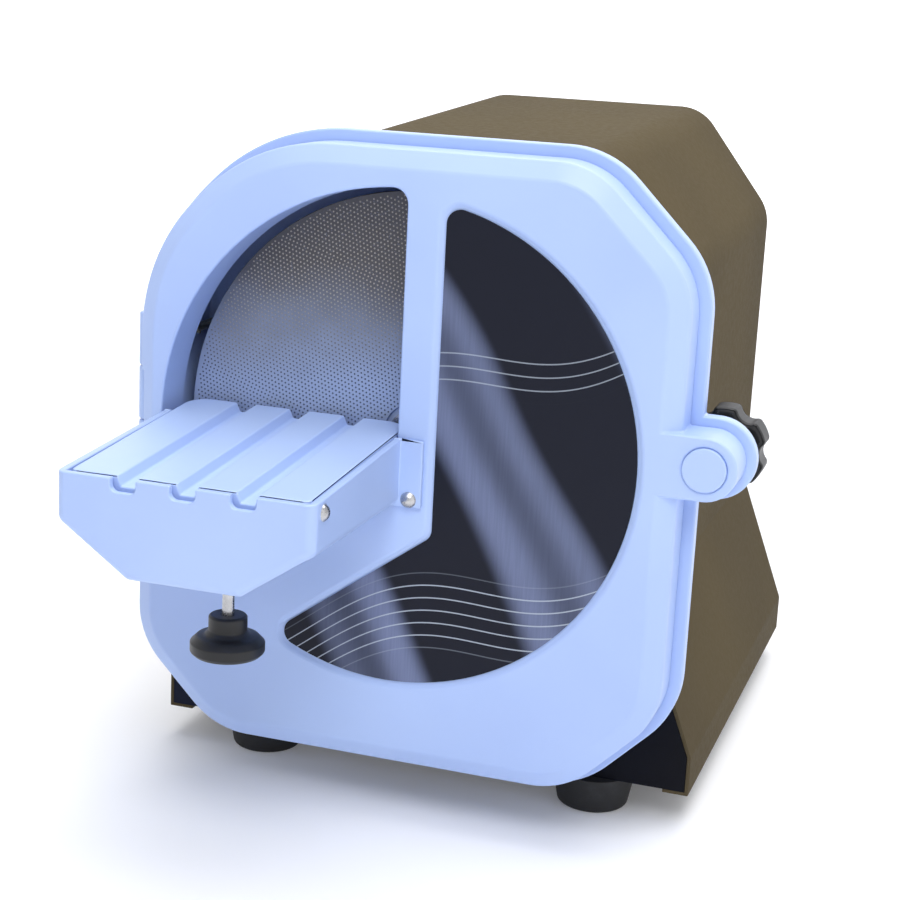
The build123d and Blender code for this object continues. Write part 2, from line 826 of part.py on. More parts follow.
def feet():
    """The four rubber feet, hollow for their screws."""
    top = base_skirt_bottom + sheet
    cone = turned([(0, 0), (foot_bottom_radius, 0), (foot_top_radius, top), (0, top)])
    cone = fillet(cone.edges().group_by(Axis.Z)[0], foot_round)
    cone -= rod_z(foot_bore_radius, 0, foot_bore_height, 0, 0)
    cone -= rod_z(foot_screw_radius, foot_bore_height, top, 0, 0)
    return Part() + [Pos(x, y, 0) * cone for x, y in foot_places()]


def foot_screws():
    """The feet's screws, heads in the hollows."""
    screw = rod_z(foot_bore_radius - 1.5, foot_bore_height - 3, foot_bore_height, 0, 0)
    screw += rod_z(foot_screw_radius, foot_bore_height, base_skirt_bottom + 2 * sheet + 4, 0, 0)
    return Part() + [Pos(x, y, 0) * screw for x, y in foot_places()]


def motor_bolt_places():
    """(x, z) of the four bolts that hold chamber, front panel and motor together."""
    reach = motor_bolt_circle / sqrt(2)
    return [(x, axis_height + z) for x in (-reach, reach) for z in (-reach, reach)]


def motor_bolts():
    """The bolts through the chamber's back and the panel into the motor's front bell."""
    head_back = housing_front - chamber_wall
    bolts = Part()
    for x, z in motor_bolt_places():
        bolts += rod_y(motor_bolt_head_radius, head_back - motor_bolt_head_height, head_back, x, z)
        bolts += rod_y(motor_bolt_radius, head_back, panel_back + motor_bolt_grip, x, z)
    return bolts


bell_back = panel_back + bell_length
motor_back = bell_back + motor_length
rear_bell_back = motor_back + bell_length * 0.6
shaft_rear = rear_bell_back + fan_thickness + 6
hub_back = disc_front + disc_thickness + hub_length


def bearing_seat(y_front):
    """The room of a ball bearing."""
    return rod_y(bearing_radius, y_front, y_front + bearing_width, 0, axis_height)


def shaft_room(y_front, y_back, growth=1.0):
    """A hole for the shaft."""
    return rod_y(shaft_radius + growth, y_front, y_back, 0, axis_height)


front_bearing_y = bell_back - bearing_width
rear_bearing_y = motor_back


def motor_front_bell():
    """The flanged front end of the motor, which holds the front bearing."""
    bell = rod_y(motor_radius, panel_back, bell_back, 0, axis_height)
    bell = chamfer(bell.edges().group_by(Axis.Y)[0], bell_chamfer)
    bell -= shaft_room(panel_back, bell_back, 3.0)
    bell -= bearing_seat(front_bearing_y)
    for x, z in motor_bolt_places():
        bell -= rod_y(motor_bolt_radius, panel_back, panel_back + motor_bolt_grip, x, z)
    return bell


def motor_rear_bell():
    """The rear end of the motor with the rear bearing."""
    bell = rod_y(motor_radius, motor_back, rear_bell_back, 0, axis_height)
    bell = chamfer(bell.edges().group_by(Axis.Y)[-1], bell_chamfer)
    bell -= shaft_room(motor_back, rear_bell_back, 3.0)
    return bell - bearing_seat(rear_bearing_y)


def motor_body():
    """The finned motor casing with the stator inside."""
    ring = Circle(motor_radius) - Circle(stator_radius)
    fin = Pos(motor_radius - motor_fin_height / 2, 0) * Rectangle(3 * motor_fin_height, motor_fin_width)
    ring += [place * fin for place in PolarLocations(0, motor_fins)]
    return front_slab(Pos(0, axis_height) * ring, bell_back, motor_back)


def rotor_shaft():
    """The motor's shaft, which carries the rotor, the fan and the disc's hub."""
    shaft = rod_y(shaft_radius, disc_front + disc_thickness, shaft_rear, 0, axis_height)
    return shaft - rod_y(disc_screw_radius, disc_front + disc_thickness, disc_front + disc_screw_length, 0, axis_height)


def rotor_core():
    """The rotor between the bearings."""
    core_gap = 6.0
    core = rod_y(stator_radius - rotor_air_gap, bell_back + core_gap, motor_back - core_gap, 0, axis_height)
    return core - rod_y(shaft_radius, bell_back, motor_back, 0, axis_height)


def ball_bearing(y_front):
    """A bearing as one ring, running on the shaft."""
    return bearing_seat(y_front) - shaft_room(y_front, y_front + bearing_width, running_gap)


def motor_fan():
    """The cooling fan behind the motor."""
    fan_front = rear_bell_back + 3
    fan_back = fan_front + fan_thickness
    fan = rod_y(shaft_radius * 2, fan_front, fan_back, 0, axis_height)
    fan += rod_y(fan_radius, fan_front, fan_front + 2, 0, axis_height)
    blade = Pos(fan_radius / 2 + shaft_radius / 2, 0) * Rectangle(fan_radius - shaft_radius, 2)
    blades = Sketch() + [place * blade for place in PolarLocations(0, fan_blades)]
    fan += front_slab(Pos(0, axis_height) * blades, fan_front, fan_back)
    return fan - rod_y(shaft_radius, fan_front, fan_back, 0, axis_height)


def fan_cowl():
    """The sheet cowl over the fan, with a ring of air slots."""
    cowl_back = rear_bell_back + cowl_length
    cowl = rod_y(motor_radius + cowl_wall, motor_back + 4, cowl_back, 0, axis_height)
    cowl -= rod_y(motor_radius, motor_back + 4, cowl_back - cowl_wall, 0, axis_height)
    slot = Pos(fan_radius * 0.6, 0) * Rectangle(fan_radius * 0.6, 5)
    slots = Sketch() + [place * slot for place in PolarLocations(0, 12)]
    return cowl - front_slab(Pos(0, axis_height) * slots, cowl_back - cowl_wall, cowl_back)


def abrasive_disc():
    """The grinding disc, with a recess for the screw's washer."""
    disc = rod_y(disc_radius, disc_front, disc_front + disc_thickness, 0, axis_height)
    disc -= rod_y(disc_recess_radius, disc_front, disc_front + disc_recess_depth, 0, axis_height)
    return disc - rod_y(disc_screw_radius, disc_front, disc_front + disc_thickness, 0, axis_height)


def disc_hub():
    """The flanged hub between shaft and disc."""
    front = disc_front + disc_thickness
    hub = rod_y(hub_radius, front, front + hub_flange, 0, axis_height)
    hub += rod_y(hub_boss_radius, front, hub_back, 0, axis_height)
    return hub - rod_y(shaft_radius, front, hub_back, 0, axis_height)


def disc_screw():
    """The screw in the shaft's end that holds the disc on its hub."""
    head_back = disc_front + disc_recess_depth
    head = rod_y(disc_screw_head, disc_front - 0.5, head_back, 0, axis_height)
    return head + rod_y(disc_screw_radius, head_back, disc_front + disc_screw_length, 0, axis_height)


def shaft_seal():
    """The rubber lip seal in the chamber's back."""
    front = housing_front - chamber_wall - seal_lip
    seal = rod_y(seal_radius, housing_front - chamber_wall, panel_back, 0, axis_height)
    seal += rod_y(seal_radius - 3, front, housing_front, 0, axis_height)
    return seal - shaft_room(front, panel_back, running_gap)


def slinger():
    """The rubber disc on the shaft that throws water off before the seal."""
    ring = rod_y(slinger_radius, hub_back, hub_back + slinger_thickness, 0, axis_height)
    return ring - rod_y(shaft_radius, hub_back, hub_back + slinger_thickness, 0, axis_height)


def capacitor():
    """The motor's capacitor, lying on the base plate."""
    back = capacitor_y + capacitor_length
    return rod_y(capacitor_radius, capacitor_y, back, capacitor_x, floor_z + capacitor_radius)


def capacitor_clip():
    """The strap over the capacitor, with a foot on each side."""
    middle = floor_z + capacitor_radius
    front = capacitor_y + (capacitor_length - strap_clip_width) / 2
    back = front + strap_clip_width
    outer = capacitor_radius + strap_clip_thickness
    strap = rod_y(outer, front, back, capacitor_x, middle)
    strap &= block(capacitor_x - outer, capacitor_x + outer, front, back, floor_z, middle + outer)
    reach = outer + strap_clip_foot
    strap += block(capacitor_x - reach, capacitor_x + reach, front, back, floor_z, floor_z + strap_clip_thickness)
    strap -= block(capacitor_x - strap_clip_gap, capacitor_x + strap_clip_gap, front, back, floor_z, middle)
    return strap - rod_y(capacitor_radius, front, back, capacitor_x, middle)


def terminal_block():
    """The mains terminals on the base plate."""
    back = terminal_y + terminal_width
    top = floor_z + terminal_height
    body = block(terminal_x, terminal_x + terminal_count * terminal_pitch, terminal_y, back, floor_z, top)
    for step in range(terminal_count):
        x = terminal_x + (step + 0.5) * terminal_pitch
        body -= rod_z(terminal_bore, floor_z + terminal_height / 2, top, x, terminal_y + terminal_width / 2)
    return body


def switch_bezel():
    """The switch's frame, with its body inside the housing."""
    outer_x = -body_half_width - switch_bezel_height
    frame = block(
        outer_x,
        -body_half_width,
        switch_y - switch_width / 2,
        switch_y + switch_width / 2,
        switch_z - switch_height / 2,
        switch_z + switch_height / 2,
    )
    body = block(
        -body_half_width,
        -body_half_width + switch_body_depth,
        switch_y - switch_width / 2 + 2,
        switch_y + switch_width / 2 - 2,
        switch_z - switch_height / 2 + 2,
        switch_z + switch_height / 2 - 2,
    )
    well = block(
        outer_x,
        -body_half_width + switch_body_depth - 3,
        switch_y - rocker_width / 2 - rocker_gap,
        switch_y + rocker_width / 2 + rocker_gap,
        switch_z - rocker_height / 2 - rocker_end_gap,
        switch_z + rocker_height / 2 + rocker_end_gap,
    )
    return frame + body - well


def rocker():
    """The rocker, seen from the left as a shallow V about its level axis."""
    half = rocker_height / 2
    lean = tan(radians(rocker_throw / 2))
    face_x = -body_half_width - switch_bezel_height - 1.0
    profile = Polygon(
        (rocker_axis_x + 5, switch_z + 5),
        (face_x + 2 * half * lean, switch_z + half),
        (face_x + half * lean * 0.6, switch_z),
        (face_x - half * lean * 0.2, switch_z - half),
        (rocker_axis_x + 5, switch_z - 5),
        align=None,
    )
    body = Pos(0, switch_y + rocker_width / 2, 0) * extrude(Plane.XZ * profile, amount=rocker_width, dir=(0, -1, 0))
    return body


def water_barb():
    """The hose barb at the chamber's back, left of the housing."""
    back = housing_front
    profile = [(barb_bore, 0), (barb_radius + barb_flange, 0), (barb_radius + barb_flange, 3)]
    step = (barb_length - 3) / 4
    for ring in range(4):
        low = 3 + ring * step
        profile += [(barb_radius, low), (barb_radius - 0.8, low + step * 0.9)]
    profile += [(barb_bore, barb_length)]
    return Pos(barb_x, back, barb_z) * Rot(-90, 0, 0) * turned(profile)


def spray_tube():
    """The tube through the chamber, with the jet arm that wets the disc's front face."""
    back = housing_front - chamber_wall
    tube = rod_y(spray_radius, spray_front, back, barb_x, barb_z)
    jet_y = spray_front + jet_radius
    tube += rod_x(jet_radius, barb_x, barb_x + jet_length, jet_y, barb_z)
    tube -= rod_x(jet_bore, barb_x, barb_x + jet_length, jet_y, barb_z)
    return tube - rod_y(barb_bore, jet_y, back, barb_x, barb_z)


def drain_spigot():
    """The drain below the chamber."""
    top = rim_bottom + chamber_inset
    spigot = rod_z(drain_radius, top - drain_length, top, 0, drain_y)
    spigot += rod_z(drain_radius + 3, top - 3, top, 0, drain_y)
    return spigot - rod_z(drain_bore, top - drain_length, top, 0, drain_y)


def cable_gland():
    """The mains inlet in the rear panel."""
    profile = [
        (gland_bore, -6),
        (gland_radius - 2, -6),
        (gland_radius - 2, sheet),
        (gland_radius + 2, sheet),
        (gland_radius + 2, sheet + 5),
        (gland_radius, sheet + 6),
        (gland_radius - 3, sheet + gland_length),
        (gland_bore, sheet + gland_length),
    ]
    solid = turned(profile)
    return Pos(gland_x, housing_back - sheet, gland_z) * Rot(-90, 0, 0) * solid


def gland_nut():
    """The nut behind the gland."""
    nut = RegularPolygon(gland_radius + 3, 6) - Circle(gland_radius - 2)
    return front_slab(Pos(gland_x, gland_z) * nut, housing_back - sheet - 4, housing_back - sheet)


def label_plate():
    """The thin printed plate in the label field."""
    return front_slab(label_field(label_margin), label_depth - label_thickness, label_depth)


parts = {
    "front_cover": make_front_cover,
    "label_plate": label_plate,
    "wet_chamber": make_wet_chamber,
    "cover_gasket": lambda: gasket_ring(seal_gap / 2),
    "hinge_pin": hinge_pin,
    "clamp_cap": clamp_cap,
    "clamp_insert": clamp_insert,
    "clamp_bolt": clamp_bolt,
    "clamp_collar": clamp_collar,
    "clamp_knob": clamp_knob,
    "table_frame": make_table_frame,
    "table_screws": table_screws,
    "tilt_plate": make_tilt_plate,
    "pivot_screws": pivot_screws,
    "thrust_pad": thrust_pad,
    "jack_nut": jack_nut,
    "jack_rod": jack_rod,
    "jack_knob": jack_knob,
    "housing_shell": make_housing_shell,
    "front_panel": make_front_panel,
    "rear_panel": make_rear_panel,
    "base_plate": make_base_plate,
    "base_screws": base_screws,
    "feet": feet,
    "foot_screws": foot_screws,
    "motor_front_bell": motor_front_bell,
    "motor_body": motor_body,
    "motor_rear_bell": motor_rear_bell,
    "motor_bolts": motor_bolts,
    "rotor_shaft": rotor_shaft,
    "rotor_core": rotor_core,
    "bearing_front": lambda: ball_bearing(front_bearing_y),
    "bearing_rear": lambda: ball_bearing(rear_bearing_y),
    "motor_fan": motor_fan,
    "fan_cowl": fan_cowl,
    "abrasive_disc": abrasive_disc,
    "disc_hub": disc_hub,
    "disc_screw": disc_screw,
    "shaft_seal": shaft_seal,
    "slinger": slinger,
    "capacitor": capacitor,
    "capacitor_clip": capacitor_clip,
    "terminal_block": terminal_block,
    "switch_bezel": switch_bezel,
    "rocker": rocker,
    "water_barb": water_barb,
    "spray_tube": spray_tube,
    "drain_spigot": drain_spigot,
    "cable_gland": cable_gland,
    "gland_nut": gland_nut,
}

solids = {name: make() for name, make in parts.items()}
low = Vector(*[min(getattr(s.bounding_box().min, a) for s in solids.values()) for a in "XYZ"])
high = Vector(*[max(getattr(s.bounding_box().max, a) for s in solids.values()) for a in "XYZ"])
origin = Vector((low.X + high.X) / 2, (low.Y + high.Y) / 2, low.Z)

os.makedirs("parts", exist_ok=True)
for name, solid in solids.items():
    export_step(Pos(-origin.X, -origin.Y, -origin.Z) * solid, f"parts/{name}.step")
print("origin at", origin)
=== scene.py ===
import json
from math import cos, pi, radians, sin

import bmesh
import bpy
from bpy.props import FloatProperty, FloatVectorProperty, PointerProperty
from mathutils import Matrix, Vector
from mathutils.bvhtree import BVHTree


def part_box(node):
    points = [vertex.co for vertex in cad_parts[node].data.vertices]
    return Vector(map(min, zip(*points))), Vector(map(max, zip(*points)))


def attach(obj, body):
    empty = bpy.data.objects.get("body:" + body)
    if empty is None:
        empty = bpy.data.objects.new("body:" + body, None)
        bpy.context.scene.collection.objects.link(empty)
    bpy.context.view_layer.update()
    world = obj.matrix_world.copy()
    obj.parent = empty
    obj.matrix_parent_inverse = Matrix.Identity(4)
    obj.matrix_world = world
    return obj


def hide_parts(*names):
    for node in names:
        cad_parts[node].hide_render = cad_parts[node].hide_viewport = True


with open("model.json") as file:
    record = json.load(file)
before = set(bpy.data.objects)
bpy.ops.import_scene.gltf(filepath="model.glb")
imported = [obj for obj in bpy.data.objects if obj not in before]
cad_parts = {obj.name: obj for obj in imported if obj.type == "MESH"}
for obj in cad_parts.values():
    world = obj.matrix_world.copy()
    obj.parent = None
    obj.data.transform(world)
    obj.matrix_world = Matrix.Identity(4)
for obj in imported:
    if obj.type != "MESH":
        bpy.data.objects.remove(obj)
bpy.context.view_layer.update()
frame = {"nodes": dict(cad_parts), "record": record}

bl_info = {
    "name": "Model Trimmer Dresser",
    "version": (1, 0, 0),
    "blender": (4, 5, 0),
    "location": "View3D > Sidebar > Trimmer",
    "description": "Dresses the packed dental model trimmer with rounded mouldings, finishes and a stage",
    "category": "Object",
}

MILLIMETRE = 0.001
MERGE_DISTANCE = 1e-6

# Where a form folds: faces that meet at more than the crease angle, or at the smaller
# angle where one of them belongs to a flat field of at least this area in square metres.
CREASE_ANGLE = radians(32)
FIELD_CREASE_ANGLE = radians(11)
FLAT_ANGLE = radians(0.4)
LARGE_FIELD = 0.0004

# Steps across a rounded edge, and sides of a grit point.
FINE_STEPS = 4
EDGE_STEPS = 3
SHEET_STEPS = 2
POINT_SIDES = 5

# The drawing's zero: the disc's axis, the cover's front face and the bench.
DISC_LOW, DISC_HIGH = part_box("abrasive_disc")
AXIS_X = (DISC_LOW.x + DISC_HIGH.x) / 2
AXIS_Z = (DISC_LOW.z + DISC_HIGH.z) / 2
FACE_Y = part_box("front_cover")[0].y
DISC_RADIUS = (DISC_HIGH.x - DISC_LOW.x) / 2


def drawn(x, y, z):
    """A place given in the drawing's millimetres, in metres of the frame."""
    return Vector((AXIS_X + x * MILLIMETRE, FACE_Y + y * MILLIMETRE, z * MILLIMETRE))


def tint(red, green, blue):
    """A colour as a picture shows it, from 0 to 255, made linear."""
    values = []
    for value in (red, green, blue):
        share = value / 255
        values.append(share / 12.92 if share < 0.04045 else ((share + 0.055) / 1.055) ** 2.4)
    return (*values, 1.0)


def colour(name, text, red, green, blue):
    """A colour that the user can change."""
    return FloatVectorProperty(
        name=name, description=text, subtype="COLOR", size=4, min=0, max=1, default=tint(red, green, blue)
    )


def length(name, text, metres):
    """A length that the user can change."""
    return FloatProperty(
        name=name, description=text, default=metres, min=0, max=1, unit="LENGTH", precision=5
    )


def angle(name, text, turn):
    """An angle that the user can change."""
    return FloatProperty(name=name, description=text, default=turn, unit="ROTATION")


def power(name, text, watts):
    """A lamp's power that the user can change."""
    return FloatProperty(name=name, description=text, default=watts, min=0, max=1000)


class TrimmerSizes(bpy.types.PropertyGroup):
    """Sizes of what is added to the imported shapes."""

    cover_edge: length("Cover edge", "Rounding of the moulded cover's edges", 0.0012)
    table_edge: length("Table edge", "Rounding of the work table's edges", 0.0008)
    sheet_edge: length("Sheet edge", "Rounding of the sheet steel's edges", 0.0004)
    small_edge: length("Small edge", "Rounding of the small fittings' edges", 0.0004)
    knob_edge: length("Knob edge", "Rounding of the star knob's lobes", 0.0014)
    grain_pitch: length("Grain pitch", "Distance between the disc's grit points", 0.0021)
    grain_radius: length("Grain radius", "Radius of one grit point", 0.00052)
    grain_height: length("Grain height", "Height of one grit point", 0.00022)
    grain_margin: length("Grain margin", "Bare strip along the disc's rim", 0.002)
    grain_start: length("Grain start", "Radius of the bare middle of the disc", 0.017)
    grain_turn: angle("Grain turn", "Angle of the rows of grit points", radians(19))


class TrimmerColours(bpy.types.PropertyGroup):
    """Colours of the finishes."""

    moulding: colour("Moulding", "White moulded plastic", 174, 196, 240)
    moulding_shade: colour("Moulding shade", "Clouding in the white plastic", 168, 190, 237)
    table: colour("Table plate", "The grooved plate", 179, 201, 243)
    housing: colour("Housing", "Powder coat of the housing", 88, 78, 58)
    housing_shade: colour("Housing shade", "Darker patches of the powder coat", 82, 73, 56)
    panel: colour("Panel", "Dark end panels", 40, 43, 57)
    rubber: colour("Rubber", "Feet and seals", 26, 26, 28)
    knob: colour("Knob", "Black mouldings", 16, 17, 20)
    collar: colour("Collar", "Olive ring behind the ear", 96, 98, 84)
    steel: colour("Steel", "Turned steel", 188, 188, 190)
    plated: colour("Plated", "Plated brass", 190, 178, 140)
    alloy: colour("Alloy", "Cast alloy of the motor", 150, 152, 156)
    # Painted light and shade on the disc's grit coat: the lower colour is painted light near the table, the
    # upper one painted shade above.
    disc_low: colour("Disc, lower part", "Grit coat near the table", 158, 174, 206)
    disc_high: colour("Disc, upper part", "Grit coat near the top", 80, 78, 80)
    grain: colour("Grit points", "Points of the grit coat", 70, 76, 96)
    label_dark: colour("Label, dark", "Ground of the printed plate", 13, 17, 32)
    label_light: colour("Label, light", "Sheen of the printed plate", 118, 128, 162)
    label_line: colour("Label, lines", "Fine lines of the printed plate", 176, 186, 200)
    fitting: colour("Fitting", "Grey electrical mouldings", 128, 130, 134)
    rocker: colour("Rocker", "The mains rocker", 176, 24, 22)
    floor: colour("Floor", "The pale floor and backdrop", 246, 246, 248)


class TrimmerStage(bpy.types.PropertyGroup):
    """Camera and lamps."""

    camera_place: FloatVectorProperty(
        name="Camera place",
        description="From the disc's axis, the cover's face and the bench",
        default=(0.3058, -0.8613, 0.4246),
        subtype="TRANSLATION",
        unit="LENGTH",
    )
    camera_yaw: angle("Camera yaw", "Turn to the left", 0.3102)
    camera_pitch: angle("Camera pitch", "Look down", 0.2373)
    camera_roll: angle("Camera roll", "Lean", 0.051)
    focal_length: FloatProperty(
        name="Focal length", description="In millimetres", default=75.01, min=10, max=300
    )
    key_power: power("Key lamp", "Watts", 13.0)
    fill_power: power("Fill lamp", "Watts", 3.0)
    top_power: power("Top lamp", "Watts", 31.0)
    ambient: FloatProperty(
        name="Ambient", description="Strength of the even light", default=0.4, min=0, max=5
    )


def sizes():
    return bpy.context.scene.trimmer_sizes


def colours():
    return bpy.context.scene.trimmer_colours


def stage_settings():
    return bpy.context.scene.trimmer_stage


class Finish:
    """A material under construction, ending in one shader."""

    def __init__(self, name):
        self.material = bpy.data.materials.new(name)
        self.material.use_nodes = True
        self.tree = self.material.node_tree
        self.shader = self.tree.nodes["Principled BSDF"]
        self.place = self.add("TexCoord").outputs["Object"]

    def add(self, kind, inputs=(), **settings):
        """A node with its settings, and its inputs as numbers or as sockets to join."""
        node = self.tree.nodes.new("ShaderNode" + kind)
        for key, value in settings.items():
            setattr(node, key, value)
        for key, value in dict(inputs).items():
            self.join(node.inputs[key], value)
        return node

    def join(self, socket, value):
        """Sets an input, or links it when the value is another node's output."""
        if isinstance(value, bpy.types.NodeSocket):
            self.tree.links.new(value, socket)
        else:
            socket.default_value = value

    def noise(self, scale, detail, rough=0.5, place=None):
        """Cloudy values from 0 to 1, on the object's place or on one that is stretched first."""
        where = place or self.place
        node = self.add("TexNoise", {"Vector": where, "Scale": scale, "Detail": detail, "Roughness": rough})
        return node.outputs["Fac"]

    def stretched(self, scale, spot=(0, 0, 0), turn=(0, 0, 0)):
        """The place, moved, turned and scaled, as a pattern needs it."""
        inputs = {"Vector": self.place, "Location": spot, "Rotation": turn, "Scale": scale}
        return self.add("Mapping", inputs).outputs["Vector"]

    def calc(self, operation, first, second=0.0):
        """The result of one sum."""
        return self.add("Math", {0: first, 1: second}, operation=operation).outputs[0]

    def spread(self, value, low, high, to_low=0.0, to_high=1.0):
        """A value moved smoothly from one range to another and kept inside it."""
        inputs = {"Value": value, "From Min": low, "From Max": high, "To Min": to_low, "To Max": to_high}
        return self.add("MapRange", inputs, interpolation_type="SMOOTHSTEP").outputs["Result"]

    def blend(self, share, first, second):
        """Two colours mixed by a share, through the node's sockets for colours."""
        share_socket, first_colour, second_colour, mixed_colour = 0, 6, 7, 2
        inputs = {share_socket: share, first_colour: first, second_colour: second}
        return self.add("Mix", inputs, data_type="RGBA").outputs[mixed_colour]

    def bump(self, height, distance, strength=1.0, under=None):
        """A surface that follows a height, over another one where it is given."""
        inputs = {"Height": height, "Distance": distance, "Strength": strength}
        if under is not None:
            inputs["Normal"] = under
        return self.add("Bump", inputs).outputs["Normal"]

    def shade(self, **inputs):
        """Sets the shader's own sockets, words joined by underscores."""
        for key, value in inputs.items():
            self.join(self.shader.inputs[key.replace("_", " ")], value)
        return self.material


def scaled(base, share, lift=0.0):
    """A colour made lighter or darker by a share, and lifted by a constant."""
    return (*(min(1.0, value * share + lift) for value in base[:3]), 1.0)


def moulded(name, main, shade, roughness, texture=0.00002):
    """Injection-moulded plastic: slight clouding, a fine skin and uneven gloss."""
    finish = Finish(name)
    cloud = finish.spread(finish.noise(scale=7, detail=3), 0.35, 0.7)
    skin = finish.bump(finish.noise(scale=1500, detail=2), texture)
    waves = finish.bump(finish.noise(scale=38, detail=1), texture * 4, under=skin)
    dullest, glossiest = roughness + 0.08, roughness - 0.05
    gloss = finish.spread(finish.noise(scale=22, detail=4), 0.3, 0.75, glossiest, dullest)
    return finish.shade(
        Base_Color=finish.blend(cloud, main, shade), Roughness=gloss, Normal=waves, Specular_IOR_Level=0.45
    )


def powder_coat(name, main, shade, roughness):
    """Baked powder on steel: orange peel, faint patches and pale rubbed specks."""
    finish = Finish(name)
    patches = finish.spread(finish.noise(scale=5, detail=2), 0.3, 0.72)
    speck = finish.spread(finish.noise(scale=2400, detail=1), 0.66, 0.76, 0, 0.35)
    ground = finish.blend(patches, main, shade)
    peel = finish.bump(finish.noise(scale=900, detail=3, rough=0.6), 0.00012, 0.6)
    dullest, glossiest = roughness + 0.05, roughness - 0.04
    gloss = finish.spread(finish.noise(scale=300, detail=3), 0.3, 0.7, glossiest, dullest)
    paint = finish.blend(speck, ground, scaled(main, 1.7))
    return finish.shade(Base_Color=paint, Roughness=gloss, Normal=peel, Specular_IOR_Level=0.005)


def metal(name, main, roughness, lines=(3000, 60, 3000)):
    """Turned or brushed metal with fine lines and uneven gloss."""
    finish = Finish(name)
    grain = finish.noise(scale=1.0, detail=3, rough=0.6, place=finish.stretched(lines))
    dullest, glossiest = roughness + 0.12, roughness - 0.08
    gloss = finish.spread(grain, 0.25, 0.75, glossiest, dullest)
    tarnish = finish.spread(finish.noise(scale=120, detail=3), 0.3, 0.8)
    ground = finish.blend(tarnish, main, scaled(main, 0.72))
    lined = finish.bump(grain, 0.00001)
    return finish.shade(Base_Color=ground, Metallic=1.0, Roughness=gloss, Normal=lined)


def soft_rubber(name, main):
    """Matt rubber with a fine dull skin."""
    finish = Finish(name)
    dust = finish.spread(finish.noise(scale=70, detail=5, rough=0.65), 0.45, 0.8, 0, 0.6)
    skin = finish.bump(finish.noise(scale=1800, detail=2), 0.00004, 0.8)
    rubber = finish.blend(dust, main, scaled(main, 2.6, lift=0.004))
    return finish.shade(Base_Color=rubber, Roughness=0.7, Normal=skin)


def drifting_height(finish):
    """The height above the bench, moved up and down by up to some centimetres."""
    height = finish.add("SeparateXYZ", {0: finish.place}).outputs["Z"]
    drift = finish.calc("MULTIPLY", finish.noise(scale=16, detail=3), 0.05)
    return finish.calc("ADD", height, drift)


def disc_coat():
    """Grit coat of the disc: painted light, pale and bluish, near the table, and painted shade, dim and
    grey, above; with rubbed streaks.
    """
    lowest, highest = 0.235, 0.31
    finish = Finish("disc_coat")
    # Painted light and shade: blended by height from the painted light near the table to the painted shade
    # above.
    level = finish.spread(drifting_height(finish), lowest, highest)
    ground = finish.blend(level, tuple(colours().disc_low), tuple(colours().disc_high))
    grit = finish.noise(scale=1400, detail=3, rough=0.7)
    light = scaled(colours().disc_low, 1.5)
    speckled = finish.blend(finish.spread(grit, 0.6, 0.72, 0, 0.3), ground, light)
    rubbed = finish.stretched((90, 1, 8), (2.0, 0, 0.4), (0, radians(-38), 0))
    scuffs = finish.noise(scale=1.0, detail=4, rough=0.7, place=rubbed)
    streak = finish.spread(scuffs, 0.64, 0.74, 0, 0.4)
    coat = finish.blend(streak, speckled, light)
    rough_skin = finish.bump(grit, 0.00012, 0.7)
    return finish.shade(Base_Color=coat, Roughness=0.55, Metallic=0.35, Normal=rough_skin)


def disc_grain():
    """The tips of the grit points, dark near the table and with a painted sheen above."""
    lowest, highest = 0.25, 0.3
    tip_sheen = tint(176, 170, 160)
    finish = Finish("disc_grain")
    # Painted sheen: the tips blend by height from their own dark colour to a paler painted sheen above.
    level = finish.spread(drifting_height(finish), lowest, highest)
    tips = finish.blend(level, tuple(colours().grain), tip_sheen)
    return finish.shade(Base_Color=tips, Roughness=0.4, Metallic=0.5)


def label_sheen(finish, across, up):
    """Broad and narrow bands of light that slant over the printed plate."""
    lean_across, lean_up = 0.82, 0.57
    broad_rate, narrow_rate = 62.0, 171.0
    slant = finish.calc(
        "ADD", finish.calc("MULTIPLY", across, lean_across), finish.calc("MULTIPLY", up, lean_up)
    )
    sway = finish.calc("MULTIPLY", finish.noise(scale=5, detail=1), 0.06)
    run = finish.calc("ADD", slant, sway)
    broad = finish.calc("SINE", finish.calc("MULTIPLY", run, broad_rate))
    narrow = finish.calc("SINE", finish.calc("MULTIPLY", run, narrow_rate))
    mixed = finish.calc(
        "ADD", finish.calc("MULTIPLY", broad, 0.62), finish.calc("MULTIPLY", narrow, 0.3)
    )
    sheen = finish.spread(mixed, -0.15, 0.95)
    lined = finish.stretched((900, 1, 40), turn=(0, radians(35), 0))
    brushed = finish.noise(scale=1.0, detail=2, rough=0.5, place=lined)
    return finish.calc("MULTIPLY", sheen, finish.spread(brushed, 0.2, 0.8, 0.86, 1.0))


def label_waves(finish, across, up):
    """Thin even lines that follow a shallow wave, in a lower and an upper band."""
    wave_rate, wave_height, climb = 34.0, 0.012, -0.35
    lines_per_metre, half_line = 150.0, 0.05
    wave = finish.calc(
        "MULTIPLY", finish.calc("SINE", finish.calc("MULTIPLY", across, wave_rate)), wave_height
    )
    rise = finish.calc("ADD", up, finish.calc("ADD", wave, finish.calc("MULTIPLY", across, climb)))
    rung = finish.calc("FRACT", finish.calc("MULTIPLY", rise, lines_per_metre))
    from_middle = finish.calc("ABSOLUTE", finish.calc("SUBTRACT", rung, 0.5))
    thin = finish.calc("LESS_THAN", from_middle, half_line)
    lower = finish.calc(
        "MULTIPLY", finish.spread(rise, -0.105, -0.1), finish.spread(rise, -0.062, -0.067)
    )
    upper = finish.calc("MULTIPLY", finish.spread(rise, 0.03, 0.034), finish.spread(rise, 0.056, 0.052))
    band = finish.calc("MAXIMUM", lower, finish.calc("MULTIPLY", upper, 0.7))
    return finish.calc("MULTIPLY", finish.calc("MULTIPLY", thin, band), 0.75)


